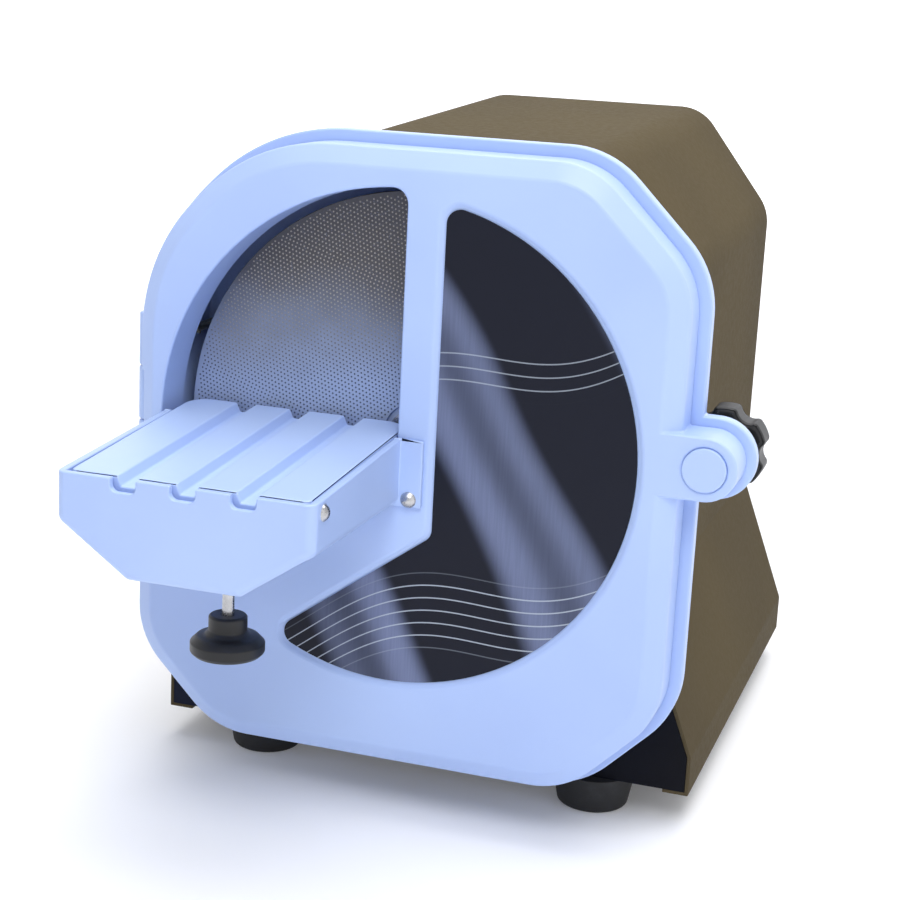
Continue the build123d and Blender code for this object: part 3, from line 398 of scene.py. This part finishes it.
def printed_label():
    """Printed plate: soft slanting sheen on a near-black ground, with fine pale waves in two bands."""
    plate_middle = AXIS_X + 0.05
    finish = Finish("printed_label")
    centre = finish.stretched((1, 1, 1), (-plate_middle, 0, -AXIS_Z))
    parts = finish.add("SeparateXYZ", {0: centre})
    across, up = parts.outputs["X"], parts.outputs["Z"]
    sheen = label_sheen(finish, across, up)
    ground = finish.blend(sheen, tuple(colours().label_dark), tuple(colours().label_light))
    waves = label_waves(finish, across, up)
    artwork = finish.blend(waves, ground, tuple(colours().label_line))
    film = finish.bump(finish.noise(scale=260, detail=1), 0.00002)
    return finish.shade(Base_Color=artwork, Roughness=0.38, Normal=film, Specular_IOR_Level=0.2)


def stock_finishes():
    """The finishes by the record's material slots."""
    tone = {name: tuple(getattr(colours(), name)) for name in TrimmerColours.__annotations__}
    rubber, panel, steel = tone["rubber"], tone["panel"], tone["steel"]
    housing, housing_shade = tone["housing"], tone["housing_shade"]
    return {
        "white_plastic": moulded("white_plastic", tone["moulding"], tone["moulding_shade"], roughness=0.36),
        "plate_white": moulded("plate_white", tone["table"], tone["moulding"], roughness=0.4),
        "label_navy": printed_label(),
        "soft_rubber": soft_rubber("soft_rubber", rubber),
        "steel": metal("steel", steel, roughness=0.24),
        "brass": metal("brass", tone["plated"], roughness=0.28),
        "collar_olive": moulded("collar_olive", tone["collar"], housing, roughness=0.45, texture=0.00003),
        "black_plastic": moulded("black_plastic", tone["knob"], rubber, roughness=0.42, texture=0.00004),
        "aluminium": metal("aluminium", steel, roughness=0.35),
        "housing_paint": powder_coat("housing_paint", housing, housing_shade, roughness=0.5),
        "panel_paint": powder_coat("panel_paint", panel, rubber, roughness=0.46),
        "cast_alloy": metal("cast_alloy", tone["alloy"], roughness=0.5, lines=(800, 800, 800)),
        "abrasive": disc_coat(),
        "grey_plastic": moulded("grey_plastic", tone["fitting"], panel, roughness=0.5),
        "rocker_red": moulded("rocker_red", tone["rocker"], tone["rocker"], roughness=0.25),
    }


SLOTS = {row["node"]: row["material_slot"] for row in frame["record"]["subparts"]}
BODIES = {node: body for body, nodes in frame["record"]["behaviour"]["bodies"].items() for node in nodes}
FINISHES = {}


def finish_of(slot):
    """The finish of a material slot, made on first use."""
    if not FINISHES:
        FINISHES.update(stock_finishes())
    return FINISHES[slot]


def dress(node):
    """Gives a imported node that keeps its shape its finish."""
    target = frame["nodes"][node]
    for slot in target.material_slots:
        slot.link = "OBJECT"
        slot.material = finish_of(SLOTS[node])


def add_object(name, mesh):
    """An object in the scene for a mesh."""
    item = bpy.data.objects.new(name, mesh)
    bpy.context.scene.collection.objects.link(item)
    return item


def settle(item, modifiers):
    """Turns an object with modifiers into one with a plain mesh."""
    bpy.context.view_layer.update()
    graph = bpy.context.evaluated_depsgraph_get()
    mesh = bpy.data.meshes.new_from_object(item.evaluated_get(graph), depsgraph=graph)
    old = item.data
    for modifier in modifiers:
        item.modifiers.remove(modifier)
    item.data = mesh
    bpy.data.meshes.remove(old)
    mesh.name = item.name
    return item


def flat_fields(work):
    """The area of the flat field that each face belongs to."""
    areas = {}
    for start in work.faces:
        if start in areas:
            continue
        field = {start}
        waiting = [start]
        while waiting:
            for edge in waiting.pop().edges:
                if edge.calc_face_angle(pi) < FLAT_ANGLE:
                    fresh = [face for face in edge.link_faces if face not in field]
                    field.update(fresh)
                    waiting.extend(fresh)
        total = sum(face.calc_area() for face in field)
        areas.update((face, total) for face in field)
    return areas


def creases(work):
    """The edges where the form folds: any clear fold, and a slighter one where a large flat ends."""
    areas = flat_fields(work)
    found = []
    for edge in work.edges:
        fold = edge.calc_face_angle(0)
        large = any(areas[face] > LARGE_FIELD for face in edge.link_faces)
        if fold > CREASE_ANGLE or (large and fold > FIELD_CREASE_ANGLE):
            found.append(edge)
    return found


def softened(name, nodes, edge, steps=EDGE_STEPS):
    """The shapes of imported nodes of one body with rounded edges, as one piece that stands for them."""
    mesh = bpy.data.meshes.new(name)
    work = bmesh.new()
    for node in nodes:
        work.from_mesh(frame["nodes"][node].data)
    bmesh.ops.remove_doubles(work, verts=work.verts, dist=MERGE_DISTANCE)
    for face in work.faces:
        face.smooth = True
        face.material_index = 0
    weight = work.edges.layers.float.new("bevel_weight_edge")
    for crease in creases(work):
        crease[weight] = 1.0
        crease.smooth = edge > 0
    packed_surface = BVHTree.FromBMesh(work)
    work.to_mesh(mesh)
    work.free()
    item = add_object(name, mesh)
    mesh.materials.clear()
    mesh.materials.append(finish_of(SLOTS[nodes[0]]))
    modifiers = []
    if edge > 0:
        bevel = item.modifiers.new("rounding", "BEVEL")
        bevel.width = edge
        bevel.segments = steps
        bevel.limit_method = "WEIGHT"
        bevel.use_clamp_overlap = False
        bevel.loop_slide = False
        modifiers.append(bevel)
    shading = item.modifiers.new("shading", "WEIGHTED_NORMAL")
    shading.keep_sharp = True
    modifiers.append(shading)
    settle(item, modifiers)
    for vertex in item.data.vertices:
        nearest, _, _, distance = packed_surface.find_nearest(vertex.co)
        if distance > edge:
            vertex.co = nearest
    return belong(item, nodes)


def belong(item, nodes, replaces=True):
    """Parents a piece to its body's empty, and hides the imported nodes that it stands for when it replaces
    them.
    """
    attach(item, BODIES[nodes[0]])
    if replaces:
        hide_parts(*nodes)
    return item


class Tree:
    """A Geometry Nodes tree under construction, with named inputs."""

    def __init__(self, name, inputs):
        self.group = bpy.data.node_groups.new(name, "GeometryNodeTree")
        self.sockets = {}
        interface = self.group.interface
        for label, kind in inputs:
            socket = interface.new_socket(label, in_out="INPUT", socket_type=kind)
            self.sockets[label] = socket.identifier
        interface.new_socket("Geometry", in_out="OUTPUT", socket_type="NodeSocketGeometry")
        self.entry = self.group.nodes.new("NodeGroupInput")
        self.exit = self.group.nodes.new("NodeGroupOutput")

    def given(self, label):
        """The socket of a named input."""
        return self.entry.outputs[label]

    def add(self, kind, inputs=(), **settings):
        """A node with its settings, and its inputs as numbers or as sockets to join."""
        node = self.group.nodes.new(kind)
        for key, value in settings.items():
            setattr(node, key, value)
        for key, value in dict(inputs).items():
            if isinstance(value, bpy.types.NodeSocket):
                self.group.links.new(value, node.inputs[key])
            else:
                node.inputs[key].default_value = value
        return node

    def calc(self, operation, first, second=0.0):
        """The result of one sum."""
        return self.add("ShaderNodeMath", {0: first, 1: second}, operation=operation).outputs[0]

    def close(self, geometry):
        """Ends the tree in real geometry with its material."""
        real = self.add("GeometryNodeRealizeInstances", {"Geometry": geometry})
        coated = {"Geometry": real.outputs[0], "Material": self.given("Material")}
        done = self.add("GeometryNodeSetMaterial", coated)
        self.group.links.new(done.outputs[0], self.exit.inputs[0])

    def run(self, name, values):
        """Makes an object from the tree with these values and settles it as a plain mesh."""
        item = add_object(name, bpy.data.meshes.new(name))
        modifier = item.modifiers.new(name, "NODES")
        modifier.node_group = self.group
        for label, value in values.items():
            modifier[self.sockets[label]] = value
        return settle(item, [modifier])


class TrimmerStep:
    """What the operators share."""

    bl_options = {"REGISTER", "UNDO"}

    def execute(self, context):
        self.build()
        return {"FINISHED"}


class TRIMMER_OT_front_cover(TrimmerStep, bpy.types.Operator):
    """Makes the moulded front cover with its softened edges, and the clamp's cap and bush"""

    bl_idname = "trimmer.front_cover"
    bl_label = "Front Cover"

    def build(self):
        softened("cover_moulding", ["front_cover"], sizes().cover_edge, FINE_STEPS)
        softened("ear_cap", ["clamp_cap"], sizes().small_edge)
        dress("clamp_insert")


class TRIMMER_OT_label(TrimmerStep, bpy.types.Operator):
    """Makes the printed plate in the cover's recess"""

    bl_idname = "trimmer.label"
    bl_label = "Printed Plate"

    def build(self):
        softened("printed_plate", ["label_plate"], 0)


class TRIMMER_OT_wet_chamber(TrimmerStep, bpy.types.Operator):
    """Makes the moulded chamber behind the cover, its seal and the hinge pin"""

    bl_idname = "trimmer.wet_chamber"
    bl_label = "Wet Chamber"

    def build(self):
        softened("chamber_moulding", ["wet_chamber"], sizes().cover_edge)
        softened("hinge_rod", ["hinge_pin"], sizes().small_edge)
        for node in ("cover_gasket", "shaft_seal", "slinger"):
            dress(node)


class TRIMMER_OT_work_table(TrimmerStep, bpy.types.Operator):
    """Makes the table's frame and its grooved plate"""

    bl_idname = "trimmer.work_table"
    bl_label = "Work Table"

    def build(self):
        softened("table_skirt", ["table_frame"], sizes().table_edge)
        softened("grooved_plate", ["tilt_plate"], sizes().table_edge)


class TRIMMER_OT_jack(TrimmerStep, bpy.types.Operator):
    """Makes the jack screw below the table"""

    bl_idname = "trimmer.jack"
    bl_label = "Jack Screw"

    def build(self):
        softened("jack_handle", ["jack_knob"], sizes().small_edge)
        softened("jack_spindle", ["jack_rod"], 0)
        softened("jack_bush", ["jack_nut"], sizes().small_edge)
        softened("jack_pad_cap", ["thrust_pad"], 0)


class TRIMMER_OT_clamp(TrimmerStep, bpy.types.Operator):
    """Makes the clamp behind the rear ear"""

    bl_idname = "trimmer.clamp"
    bl_label = "Cover Clamp"

    def build(self):
        softened("clamp_handle", ["clamp_knob"], sizes().knob_edge, FINE_STEPS)
        softened("clamp_washer", ["clamp_collar"], 0)
        dress("clamp_bolt")


class TRIMMER_OT_screws(TrimmerStep, bpy.types.Operator):
    """Makes the dome screws of the table, and gives the hidden screws their finish"""

    bl_idname = "trimmer.screws"
    bl_label = "Dome Screws"

    def build(self):
        softened("pivot_screw_heads", ["pivot_screws"], 0)
        softened("table_screw_heads", ["table_screws"], 0)
        for node in ("base_screws", "foot_screws", "motor_bolts"):
            dress(node)


class TRIMMER_OT_disc(TrimmerStep, bpy.types.Operator):
    """Makes the abrasive disc with its rows of grit points"""

    bl_idname = "trimmer.disc"
    bl_label = "Abrasive Disc"

    def build(self):
        softened("grinding_disc", ["abrasive_disc"], sizes().small_edge)
        self.add_grain()
        for node in ("disc_hub", "disc_screw", "rotor_shaft", "rotor_core"):
            dress(node)

    def add_grain(self):
        """Low five-sided points in staggered rows over the disc's front face."""
        inputs = [
            ("Pitch", "NodeSocketFloat"),
            ("Radius", "NodeSocketFloat"),
            ("Height", "NodeSocketFloat"),
            ("Turn", "NodeSocketFloat"),
            ("Outer", "NodeSocketFloat"),
            ("Inner", "NodeSocketFloat"),
            ("Centre", "NodeSocketVector"),
            ("Material", "NodeSocketMaterial"),
        ]
        tree = Tree("grit_points", inputs)
        pitch = tree.given("Pitch")
        rows = 2 * int(DISC_RADIUS / sizes().grain_pitch) + 2
        wide = tree.calc("MULTIPLY", pitch, rows - 1.0)
        grid = tree.add(
            "GeometryNodeMeshGrid",
            {"Size X": wide, "Size Y": wide, "Vertices X": rows, "Vertices Y": rows},
        )
        place = tree.add("ShaderNodeSeparateXYZ", {0: tree.add("GeometryNodeInputPosition").outputs[0]})
        row = tree.calc("ROUND", tree.calc("DIVIDE", place.outputs["Y"], pitch), 0.0)
        odd = tree.calc("ABSOLUTE", tree.calc("MODULO", row, 2.0))
        half_pitch = tree.calc("MULTIPLY", pitch, 0.5)
        shift = tree.add("ShaderNodeCombineXYZ", {"X": tree.calc("MULTIPLY", odd, half_pitch)})
        staggered = {"Geometry": grid.outputs[0], "Offset": shift.outputs[0]}
        moved = tree.add("GeometryNodeSetPosition", staggered)
        moved_place = tree.add("GeometryNodeInputPosition").outputs[0]
        measured = tree.add("ShaderNodeVectorMath", {0: moved_place}, operation="LENGTH")
        distance = measured.outputs["Value"]
        outside = tree.calc("GREATER_THAN", distance, tree.given("Outer"))
        within = tree.calc("LESS_THAN", distance, tree.given("Inner"))
        kept = tree.add(
            "GeometryNodeDeleteGeometry",
            {"Geometry": moved.outputs[0], "Selection": tree.calc("ADD", outside, within)},
        )
        point = tree.add(
            "GeometryNodeMeshCone",
            {
                "Vertices": POINT_SIDES,
                "Radius Top": tree.calc("MULTIPLY", tree.given("Radius"), 0.6),
                "Radius Bottom": tree.given("Radius"),
                "Depth": tree.given("Height"),
            },
        )
        sown = {"Points": kept.outputs[0], "Instance": point.outputs["Mesh"]}
        spread = tree.add("GeometryNodeInstanceOnPoints", sown)
        turn = tree.add("ShaderNodeCombineXYZ", {"X": radians(90), "Y": tree.given("Turn"), "Z": 0.0})
        centre = tree.given("Centre")
        placed = {"Geometry": spread.outputs[0], "Rotation": turn.outputs[0], "Translation": centre}
        upright = tree.add("GeometryNodeTransform", placed)
        tree.close(upright.outputs[0])
        values = {
            "Pitch": sizes().grain_pitch,
            "Radius": sizes().grain_radius,
            "Height": sizes().grain_height,
            "Turn": sizes().grain_turn,
            "Outer": DISC_RADIUS - sizes().grain_margin,
            "Inner": sizes().grain_start,
            "Centre": (AXIS_X, DISC_LOW.y, AXIS_Z),
            "Material": disc_grain(),
        }
        points = tree.run("grit_points", values)
        belong(points, ["abrasive_disc"], replaces=False)


class TRIMMER_OT_housing(TrimmerStep, bpy.types.Operator):
    """Makes the folded steel housing with its panels"""

    bl_idname = "trimmer.housing"
    bl_label = "Housing"

    def build(self):
        softened("housing_sheet", ["housing_shell"], sizes().sheet_edge, SHEET_STEPS)
        softened("front_sheet", ["front_panel"], 0)
        softened("rear_sheet", ["rear_panel"], sizes().sheet_edge, SHEET_STEPS)
        dress("base_plate")


class TRIMMER_OT_feet(TrimmerStep, bpy.types.Operator):
    """Makes the rubber feet"""

    bl_idname = "trimmer.feet"
    bl_label = "Feet"

    def build(self):
        softened("rubber_feet", ["feet"], 0)


class TRIMMER_OT_motor(TrimmerStep, bpy.types.Operator):
    """Gives the motor and the wiring inside the housing their finishes"""

    bl_idname = "trimmer.motor"
    bl_label = "Motor"

    def build(self):
        inside = (
            "motor_front_bell",
            "motor_body",
            "motor_rear_bell",
            "bearing_front",
            "bearing_rear",
            "motor_fan",
            "fan_cowl",
            "capacitor",
            "capacitor_clip",
            "terminal_block",
        )
        for node in inside:
            dress(node)


class TRIMMER_OT_fittings(TrimmerStep, bpy.types.Operator):
    """Makes the switch, the water fittings and the mains gland"""

    bl_idname = "trimmer.fittings"
    bl_label = "Fittings"

    def build(self):
        softened("switch_frame", ["switch_bezel"], sizes().small_edge)
        softened("switch_rocker_cap", ["rocker"], sizes().small_edge)
        softened("hose_barb", ["water_barb"], 0)
        softened("drain_pipe", ["drain_spigot"], sizes().small_edge)
        softened("mains_gland", ["cable_gland"], sizes().small_edge)
        for node in ("spray_tube", "gland_nut"):
            dress(node)


# Each lamp's name, its place in the drawing's millimetres, its width in metres and its setting.
LAMPS = (
    ("key_lamp", (350, -1100, 1500), 0.8, "key_power"),
    ("fill_lamp", (1500, -900, 700), 1.4, "fill_power"),
    ("top_lamp", (200, 300, 1900), 1.8, "top_power"),
)
LAMP_TARGET = (0, 60, 180)


class TRIMMER_OT_stage(TrimmerStep, bpy.types.Operator):
    """Makes the pale floor, the lamps and the camera"""

    bl_idname = "trimmer.stage"
    bl_label = "Stage"

    def build(self):
        self.add_floor()
        self.add_world()
        for name, place, width, setting in LAMPS:
            self.add_lamp(name, drawn(*place), width, getattr(stage_settings(), setting))
        self.add_camera()
        bpy.context.scene.view_settings.view_transform = "Standard"

    def add_floor(self):
        """A floor that curves up into a backdrop, whiter away from the object."""
        half, front, back = 6.0, -6.0, 2.6
        bend, height, steps = 1.0, 4.0, 12
        glow_starts, glow_full = 0.7, 3.0
        near_glow, far_glow = 0.12, 0.75
        line = [(front, 0.0)]
        for step in range(steps + 1):
            turn = radians(90) * step / steps
            line.append((back + bend * sin(turn), bend * (1 - cos(turn))))
        line.append((back + bend, height))
        work = bmesh.new()
        rows = [[work.verts.new((x, y, z)) for x in (-half, half)] for y, z in line]
        for low, high in zip(rows, rows[1:]):
            work.faces.new((low[0], low[1], high[1], high[0]))
        for face in work.faces:
            face.smooth = True
        mesh = bpy.data.meshes.new("floor")
        work.to_mesh(mesh)
        work.free()
        finish = Finish("floor_paint")
        pale = tuple(colours().floor)
        away = finish.add("VectorMath", {0: finish.place}, operation="LENGTH").outputs["Value"]
        glow = finish.spread(away, glow_starts, glow_full, near_glow, far_glow)
        paint = finish.blend(finish.noise(scale=3, detail=2), pale, scaled(pale, 0.985))
        mesh.materials.append(
            finish.shade(Base_Color=paint, Roughness=0.85, Emission_Color=pale, Emission_Strength=glow)
        )
        add_object("floor", mesh)

    def add_world(self):
        """Even light, with white where the camera or a reflection sees past the floor."""
        daylight = (0.93, 0.96, 1.0, 1.0)
        paper_white = (0.95, 0.95, 0.96, 1.0)
        world = bpy.data.worlds.new("studio")
        bpy.context.scene.world = world
        world.use_nodes = True
        tree = world.node_tree
        ground = tree.nodes["Background"]
        ground.inputs["Color"].default_value = daylight
        ground.inputs["Strength"].default_value = stage_settings().ambient
        white = tree.nodes.new("ShaderNodeBackground")
        white.inputs["Color"].default_value = paper_white
        path = tree.nodes.new("ShaderNodeLightPath")
        seen = tree.nodes.new("ShaderNodeMath")
        seen.operation = "MAXIMUM"
        mirrored = tree.nodes.new("ShaderNodeMath")
        mirrored.operation = "MAXIMUM"
        mix = tree.nodes.new("ShaderNodeMixShader")
        tree.links.new(path.outputs["Is Glossy Ray"], mirrored.inputs[0])
        tree.links.new(path.outputs["Is Transmission Ray"], mirrored.inputs[1])
        tree.links.new(path.outputs["Is Camera Ray"], seen.inputs[0])
        tree.links.new(mirrored.outputs[0], seen.inputs[1])
        tree.links.new(seen.outputs[0], mix.inputs[0])
        tree.links.new(ground.outputs[0], mix.inputs[1])
        tree.links.new(white.outputs[0], mix.inputs[2])
        tree.links.new(mix.outputs[0], tree.nodes["World Output"].inputs["Surface"])

    def add_lamp(self, name, place, width, watts):
        """A soft square lamp that looks at the object."""
        lamp = bpy.data.lights.new(name, "AREA")
        lamp.size = width
        lamp.energy = watts
        item = bpy.data.objects.new(name, lamp)
        bpy.context.scene.collection.objects.link(item)
        item.location = place
        item.rotation_euler = (drawn(*LAMP_TARGET) - place).to_track_quat("-Z", "Y").to_euler()

    def add_camera(self):
        """The camera at the photograph's angle."""
        settings = stage_settings()
        yaw, pitch, roll = -settings.camera_yaw, -settings.camera_pitch, settings.camera_roll
        ahead = Vector((sin(yaw) * cos(pitch), cos(yaw) * cos(pitch), sin(pitch)))
        level = Vector((cos(yaw), -sin(yaw), 0))
        above = level.cross(ahead)
        right = cos(roll) * level + sin(roll) * above
        up = -sin(roll) * level + cos(roll) * above
        place = drawn(*(value / MILLIMETRE for value in settings.camera_place))
        lens = bpy.data.cameras.new("camera")
        lens.sensor_width = 36.0
        lens.lens = settings.focal_length
        lens.clip_start, lens.clip_end = 0.05, 50
        item = bpy.data.objects.new("camera", lens)
        bpy.context.scene.collection.objects.link(item)
        turn = Matrix((right, up, -ahead)).transposed().to_4x4()
        item.matrix_world = Matrix.Translation(place) @ turn
        bpy.context.scene.camera = item


class TRIMMER_PT_panel(bpy.types.Panel):
    """Lists the steps"""

    bl_label = "Model Trimmer"
    bl_idname = "TRIMMER_PT_panel"
    bl_space_type = "VIEW_3D"
    bl_region_type = "UI"
    bl_category = "Trimmer"

    def draw(self, context):
        layout = self.layout
        for step in STEPS:
            layout.operator(step.bl_idname)


STEPS = (
    TRIMMER_OT_front_cover,
    TRIMMER_OT_label,
    TRIMMER_OT_wet_chamber,
    TRIMMER_OT_work_table,
    TRIMMER_OT_jack,
    TRIMMER_OT_clamp,
    TRIMMER_OT_screws,
    TRIMMER_OT_disc,
    TRIMMER_OT_housing,
    TRIMMER_OT_feet,
    TRIMMER_OT_motor,
    TRIMMER_OT_fittings,
    TRIMMER_OT_stage,
)
GROUPS = (TrimmerSizes, TrimmerColours, TrimmerStage)


def register():
    """Registers the groups, the operators and the panel."""
    for item in (*GROUPS, *STEPS, TRIMMER_PT_panel):
        bpy.utils.register_class(item)
    bpy.types.Scene.trimmer_sizes = PointerProperty(type=TrimmerSizes)
    bpy.types.Scene.trimmer_colours = PointerProperty(type=TrimmerColours)
    bpy.types.Scene.trimmer_stage = PointerProperty(type=TrimmerStage)


def unregister():
    """Takes back what register did."""
    del bpy.types.Scene.trimmer_stage
    del bpy.types.Scene.trimmer_colours
    del bpy.types.Scene.trimmer_sizes
    for item in reversed((*GROUPS, *STEPS, TRIMMER_PT_panel)):
        bpy.utils.unregister_class(item)


def main():
    """Runs every step in order."""
    register()
    for step in STEPS:
        group, name = step.bl_idname.split(".")
        getattr(getattr(bpy.ops, group), name)()
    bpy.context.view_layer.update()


if __name__ == "__main__":
    main()
